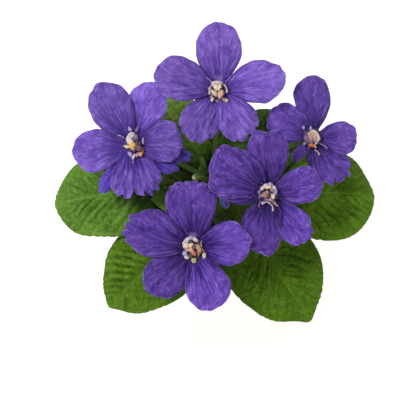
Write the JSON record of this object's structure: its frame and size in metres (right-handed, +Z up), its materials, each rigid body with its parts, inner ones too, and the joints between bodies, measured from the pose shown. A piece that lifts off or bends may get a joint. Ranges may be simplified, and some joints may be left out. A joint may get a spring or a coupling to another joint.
{
  "type": "potted violet",
  "caption": "Potted violet: five-petalled violet flowers on arching stalks over a rosette of round toothed leaves, in a plain tapered clay pot with soil.",
  "frame": {"origin": "centre of the pot's flat base", "axes": "+Z up along the pot's axis, -Y the plant's front, +X the plant's right as seen from the front"},
  "size_m": [0.113, 0.0993, 0.0934],
  "materials": {
    "clay": "unglazed terracotta, matt",
    "soil": "dark fibrous potting mix",
    "stem": "green, softly hairy, satin",
    "leaf": "mid green, quilted between the veins, satin",
    "petal": "violet, velvety, darker towards the middle",
    "anther": "cream and yellow, matt",
    "bud": "pale yellow-green, matt"
  },
  "bodies": {
    "root": {"pot": "clay", "soil": "soil", "crown": "stem", "leaf_back": "leaf", "leaf_back_left": "leaf", "leaf_back_right": "leaf", "leaf_front_left": "leaf", "leaf_front_right": "leaf", "leaf_inner_front": "leaf", "leaf_inner_front_left": "leaf", "leaf_inner_left": "leaf", "leaf_inner_right": "leaf", "leaf_left": "leaf", "leaf_right": "leaf", "stalk_back": "stem", "stalk_front": "stem", "stalk_left": "stem", "stalk_middle": "stem", "stalk_right": "stem", "petal_back_left": "petal", "petal_back_low_left": "petal", "petal_back_low_right": "petal", "petal_back_right": "petal", "petal_back_top": "petal", "petal_front_left": "petal", "petal_front_low_left": "petal", "petal_front_low_right": "petal", "petal_front_right": "petal", "petal_front_top": "petal", "petal_left_bottom": "petal", "petal_left_far_right": "petal", "petal_left_left": "petal", "petal_left_low_left": "petal", "petal_left_low_right": "petal", "petal_left_right": "petal", "petal_left_top": "petal", "petal_left_top_left": "petal", "petal_middle_bottom": "petal", "petal_middle_left": "petal", "petal_middle_low_right": "petal", "petal_middle_right": "petal", "petal_middle_top": "petal", "petal_right_left": "petal", "petal_right_low_left": "petal", "petal_right_low_right": "petal", "petal_right_right": "petal", "petal_right_top": "petal", "anthers_back": "anther", "anthers_front": "anther", "anthers_left": "anther", "anthers_middle": "anther", "anthers_right": "anther", "bud_front": "petal", "bud_middle": "bud"}
  },
  "joints": []
}
